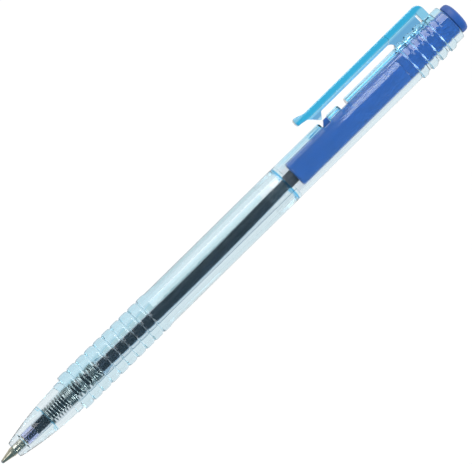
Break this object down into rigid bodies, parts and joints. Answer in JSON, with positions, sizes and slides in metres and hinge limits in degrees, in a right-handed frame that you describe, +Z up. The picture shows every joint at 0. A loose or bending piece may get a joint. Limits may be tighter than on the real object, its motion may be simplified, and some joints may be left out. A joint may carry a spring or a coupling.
{
  "type": "retractable ballpoint pen",
  "caption": "Slim retractable ballpoint pen: clear ribbed barrel, long push button with a latch tongue, and a clip whose tooth trips the latch.",
  "frame": {"origin": "bottom centre of the whole pen's box as it lies on a table, on its rear ridges and the clip's edge", "axes": "+X along the pen from the point to the push button, +Y across it towards the clip, +Z up; the pen lies rolled 19.25 degrees about X, clip side down"},
  "size_m": [0.1452, 0.0144, 0.0102],
  "materials": {
    "clear_barrel": "clear moulded polystyrene with a pale cool tint, polished",
    "tinted_clip": "clear moulding seen edge on, so its blue tint is stronger, polished",
    "button_plastic": "solid blue moulded plastic, glossy",
    "refill_plastic": "natural extruded polypropylene, translucent",
    "ink": "black ink, wet",
    "collar_plastic": "black moulded plastic, satin",
    "point_metal": "turned nickel silver, fine lathe marks",
    "ball_metal": "ground tungsten carbide",
    "spring_steel": "drawn wire, bright"
  },
  "bodies": {
    "barrel": {"front_barrel": "clear_barrel", "rear_barrel": "clear_barrel", "clip_bracket": "tinted_clip", "return_spring": "spring_steel"},
    "plunger": {"plunger_tube": "button_plastic", "push_button": "button_plastic"},
    "latch": {"latch_tongue": "button_plastic"},
    "refill": {"refill_tube": "refill_plastic", "ink_column": "ink", "refill_collar": "collar_plastic", "tip_body": "point_metal"},
    "ball": {"writing_ball": "ball_metal"},
    "clip_root": {"clip_flexure": "tinted_clip"},
    "clip": {"clip_arm": "tinted_clip"}
  },
  "joints": [
    {"name": "plunger_slide", "type": "slide", "parent": "barrel", "child": "plunger", "axis": [1, 0, 0], "range_m": [-0.00025, 0.0056]},
    {"name": "refill_slide", "type": "slide", "parent": "barrel", "child": "refill", "axis": [1, 0, 0], "range_m": [-0.00025, 0.0056], "deforming": ["return_spring"]},
    {"name": "clip_press", "type": "hinge", "parent": "barrel", "child": "clip_root", "pos_m": [0.05581, 0.0047, 0.00271], "axis": [0, 0.3297, 0.9441], "range_deg": [0, 3.2], "stiffness_Nm_per_rad": 1.5},
    {"name": "clip_lift", "type": "hinge", "parent": "clip_root", "child": "clip", "pos_m": [0.05232, 0.0047, 0.00271], "axis": [0, -0.3297, -0.9441], "range_deg": [0, 2.5], "stiffness_Nm_per_rad": 1.5},
    {"name": "latch_flex", "type": "hinge", "parent": "plunger", "child": "latch", "pos_m": [0.02567, 0.00056, 0.00416], "axis": [0, -0.3297, -0.9441], "range_deg": [0, 7.4], "deforming": ["latch_tongue"]},
    {"name": "ball_roll", "type": "hinge", "parent": "refill", "child": "ball", "pos_m": [-0.07222, -0.00214, 0.0051], "axis": [0, 1, 0], "continuous": true}
  ],
  "couplings": [
    {"joint": "refill_slide", "follows": "plunger_slide", "ratio": 1},
    {"joint": "latch_flex", "follows": "clip_press", "ratio": 2.31}
  ]
}
